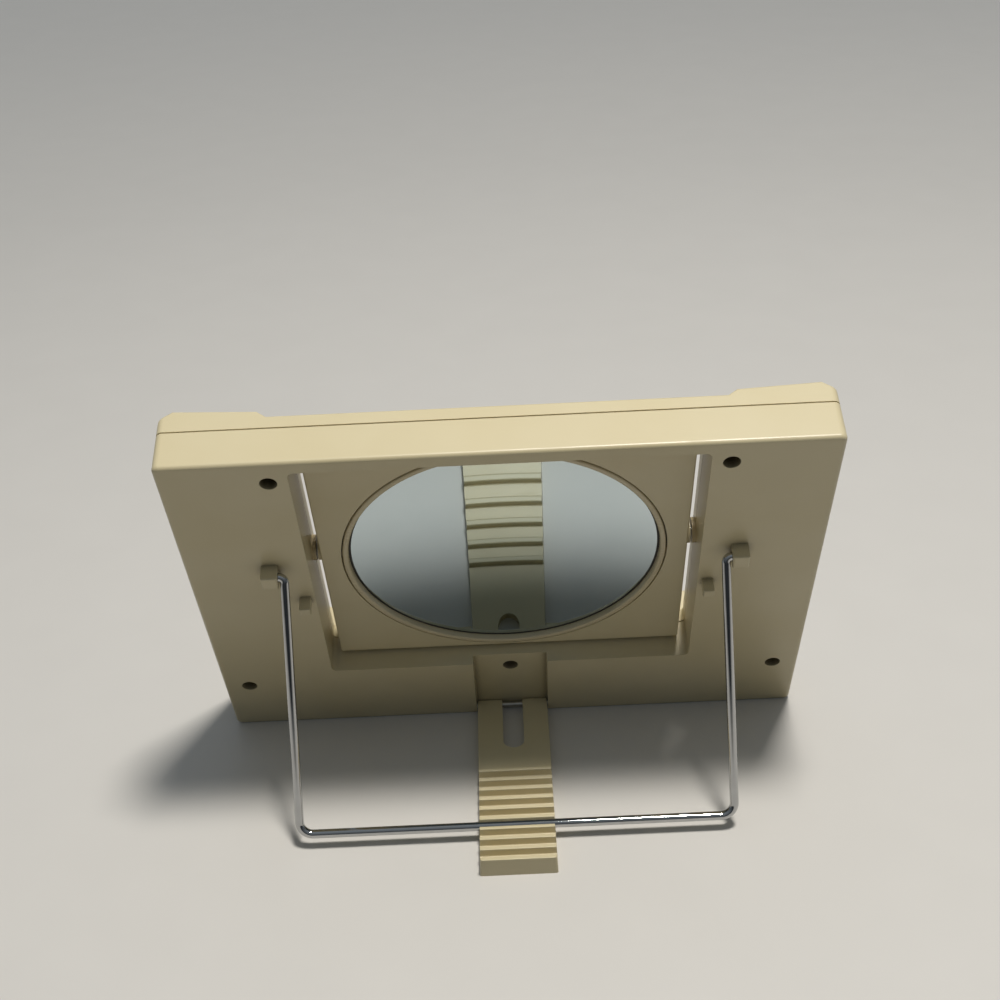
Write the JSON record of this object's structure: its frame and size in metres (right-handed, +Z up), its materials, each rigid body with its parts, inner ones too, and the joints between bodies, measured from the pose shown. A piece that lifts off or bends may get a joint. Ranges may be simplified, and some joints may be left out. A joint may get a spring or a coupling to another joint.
{
  "type": "lighted makeup mirror",
  "caption": "Leaning rectangular makeup mirror with light panels either side of a flip-over round mirror, held at an angle by a wire bail that drops into a notched folding foot.",
  "frame": {"origin": "middle of the footprint, on the table", "axes": "+X to the right as seen from the front, +Y to the rear, +Z up; the lit front faces -Y"},
  "size_m": [0.28, 0.1422, 0.2024],
  "materials": {
    "case_plastic": "semi-gloss beige moulding",
    "ring_plastic": "semi-gloss beige moulding",
    "diffuser_plastic": "milky translucent",
    "reflector_sheet": "bright sheet",
    "lamp_glass": "phosphor-coated tube",
    "white_plastic": "plain moulding",
    "ballast_metal": "varnished steel core",
    "starter_can": "plain can",
    "dark_plastic": "plain moulding",
    "button_plastic": "semi-gloss moulding",
    "lead_sheath": "soft sheath",
    "steel": "plated",
    "bush_plastic": "plain moulding",
    "chromed_wire": "bright plated wire",
    "mirror_glass": "silvered glass"
  },
  "bodies": {
    "housing": {"rear_cover": "case_plastic", "front_frame": "case_plastic", "left_diffuser": "diffuser_plastic", "right_diffuser": "diffuser_plastic", "left_reflector": "reflector_sheet", "right_reflector": "reflector_sheet", "left_lamp_tube": "lamp_glass", "right_lamp_tube": "lamp_glass", "left_lower_lampholder": "white_plastic", "left_upper_lampholder": "white_plastic", "right_lower_lampholder": "white_plastic", "right_upper_lampholder": "white_plastic", "ballast": "ballast_metal", "inner_starter": "starter_can", "outer_starter": "starter_can", "switch_body": "dark_plastic", "mains_inlet": "dark_plastic", "inner_wiring": "lead_sheath", "case_screws": "steel", "left_pivot_bush": "bush_plastic", "right_pivot_bush": "bush_plastic", "foot_hinge_pins": "steel"},
    "mirror": {"mirror_frame": "case_plastic", "rear_retaining_ring": "ring_plastic", "front_retaining_ring": "ring_plastic", "magnifying_mirror": "mirror_glass", "plain_mirror": "mirror_glass", "left_pivot_pin": "steel", "right_pivot_pin": "steel"},
    "foot": {"support_foot": "case_plastic"},
    "bail": {"wire_bail": "chromed_wire"},
    "button": {"power_button": "button_plastic"}
  },
  "joints": [
    {"name": "mirror_flip", "type": "hinge", "parent": "housing", "child": "mirror", "pos_m": [0, -0.01624, 0.12094], "axis": [1, 0, 0], "range_deg": [-180, 180]},
    {"name": "foot_fold", "type": "hinge", "parent": "housing", "child": "foot", "pos_m": [0, -0.04422, 0.003], "axis": [1, 0, 0], "range_deg": [0, 69]},
    {"name": "bail_swing", "type": "hinge", "parent": "housing", "child": "bail", "pos_m": [0, 0.0084, 0.12193], "axis": [1, 0, 0], "range_deg": [0, 139]},
    {"name": "power_button", "type": "slide", "parent": "housing", "child": "button", "axis": [0, 0.9336, -0.3584], "range_m": [0, 0.0018], "stiffness_N_per_m": 800}
  ]
}
